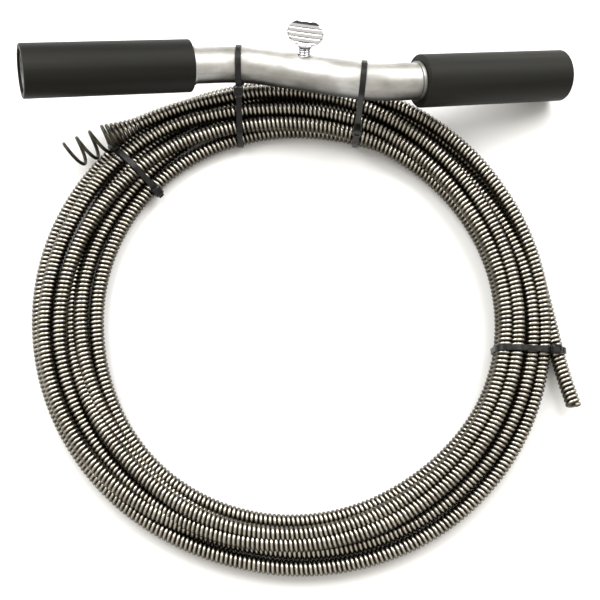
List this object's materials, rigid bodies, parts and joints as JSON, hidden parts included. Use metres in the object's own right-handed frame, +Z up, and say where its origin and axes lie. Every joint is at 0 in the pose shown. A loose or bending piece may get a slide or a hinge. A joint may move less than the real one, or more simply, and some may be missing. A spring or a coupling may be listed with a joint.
{
  "type": "drain auger",
  "caption": "Hand-cranked drain auger in storage form: a coil of wound-wire cable with a spiral head, tied under its bent tube crank handle.",
  "frame": {"origin": "on the ground, under the middle of the crank handle's overall box", "axes": "+X along the crank handle, from the raised grip to the grip that stands on the ground; +Z up; -Y from the handle towards the middle of the coil"},
  "size_m": [0.3406, 0.3319, 0.0881],
  "materials": {
    "cable_steel": "dark oiled wound wire with worn bright crests",
    "tube_zinc": "dull zinc plate, mottled",
    "grip_plastic": "smooth dark sleeve with faint lengthwise streaks",
    "screw_zinc": "bright zinc plate",
    "tie_nylon": "black nylon"
  },
  "bodies": {
    "handle_and_coil": {"handle_tube": "tube_zinc", "cable_coil": "cable_steel", "cable_lead": "cable_steel", "cable_tail": "cable_steel", "auger_head": "cable_steel", "left_handle_tie": "tie_nylon", "right_handle_tie": "tie_nylon", "left_coil_tie": "tie_nylon", "right_coil_tie": "tie_nylon"},
    "grip_left": {"left_grip": "grip_plastic"},
    "grip_right": {"right_grip": "grip_plastic"},
    "screw_stud": {"thumb_screw_stud": "screw_zinc"},
    "screw_head": {"thumb_screw_head": "screw_zinc"}
  },
  "joints": [
    {"name": "left_grip_spin", "type": "hinge", "parent": "handle_and_coil", "child": "grip_left", "pos_m": [-0.16464, -0.01264, 0.07314], "axis": [0.9307, 0.1877, -0.314], "continuous": true},
    {"name": "right_grip_spin", "type": "hinge", "parent": "handle_and_coil", "child": "grip_right", "pos_m": [0.16464, 0.01257, 0.01498], "axis": [0.9307, 0.1877, -0.314], "continuous": true},
    {"name": "screw_travel", "type": "slide", "parent": "handle_and_coil", "child": "screw_stud", "axis": [0.048, 0.7883, 0.6134], "range_m": [-0.004, 0.0065]},
    {"name": "screw_turn", "type": "hinge", "parent": "screw_stud", "child": "screw_head", "pos_m": [-0.00006, 0.00114, 0.04255], "axis": [0.048, 0.7883, 0.6134], "range_deg": [-1020, 1650]}
  ],
  "couplings": [
    {"joint": "screw_travel", "follows": "screw_turn", "m_per_rad": 0.00022458}
  ]
}
